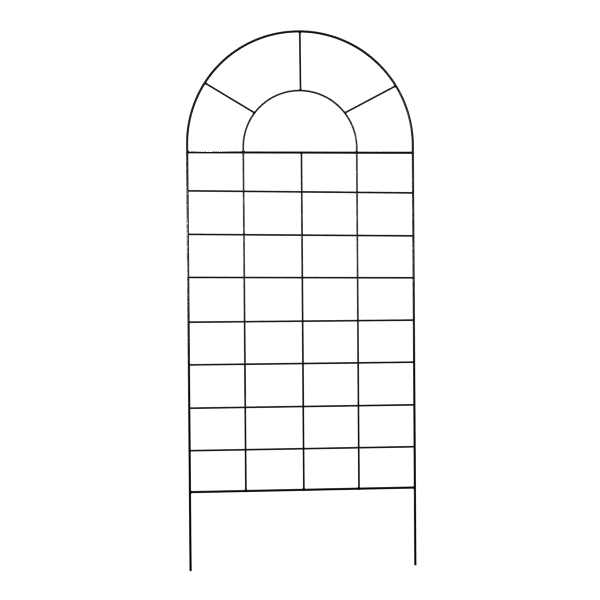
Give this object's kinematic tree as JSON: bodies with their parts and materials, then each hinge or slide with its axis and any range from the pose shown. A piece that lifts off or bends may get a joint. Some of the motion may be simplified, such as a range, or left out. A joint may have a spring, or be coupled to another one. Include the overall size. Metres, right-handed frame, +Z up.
{
  "type": "garden trellis panel",
  "caption": "Flat arched garden trellis panel of welded black steel rod: outer and inner hoops, cross wires, spokes, rails and two legs that push into soil.",
  "frame": {"origin": "at the soil line, midway between the two legs, in the plane of the outer hoop's centre line: z = 0 is the underside of the bottom rail", "axes": "+X across the panel to the right as seen from its front, +Y away from the front, from the upright layer to the cross wires, +Z up"},
  "size_m": [0.7635, 0.013, 1.798],
  "materials": {
    "frame_powder_coat": "semi-gloss black powder coat on bright steel rod",
    "wire_powder_coat": "semi-gloss black powder coat on drawn steel wire",
    "weld_powder_coat": "semi-gloss black powder coat, a little thicker and rougher over weld metal"
  },
  "bodies": {
    "root": {"outer_hoop": "frame_powder_coat", "top_rail": "frame_powder_coat", "bottom_rail": "frame_powder_coat", "inner_hoop": "wire_powder_coat", "centre_upright": "wire_powder_coat", "cross_wire_1": "wire_powder_coat", "cross_wire_2": "wire_powder_coat", "cross_wire_3": "wire_powder_coat", "cross_wire_4": "wire_powder_coat", "cross_wire_5": "wire_powder_coat", "cross_wire_6": "wire_powder_coat", "cross_wire_7": "wire_powder_coat", "spoke_left": "wire_powder_coat", "spoke_centre": "wire_powder_coat", "spoke_right": "wire_powder_coat", "weld_top_rail_to_outer_hoop_left": "weld_powder_coat", "weld_top_rail_to_inner_hoop_left": "weld_powder_coat", "weld_top_rail_to_outer_hoop_right": "weld_powder_coat", "weld_top_rail_to_inner_hoop_right": "weld_powder_coat", "weld_top_rail_to_centre_upright": "weld_powder_coat", "weld_bottom_rail_to_outer_hoop_left": "weld_powder_coat", "weld_bottom_rail_to_inner_hoop_left": "weld_powder_coat", "weld_bottom_rail_to_outer_hoop_right": "weld_powder_coat", "weld_bottom_rail_to_inner_hoop_right": "weld_powder_coat", "weld_bottom_rail_to_centre_upright": "weld_powder_coat", "weld_spoke_left_to_outer_hoop": "weld_powder_coat", "weld_spoke_left_to_inner_hoop": "weld_powder_coat", "weld_spoke_centre_to_outer_hoop": "weld_powder_coat", "weld_spoke_centre_to_inner_hoop": "weld_powder_coat", "weld_spoke_right_to_outer_hoop": "weld_powder_coat", "weld_spoke_right_to_inner_hoop": "weld_powder_coat"}
  },
  "joints": []
}
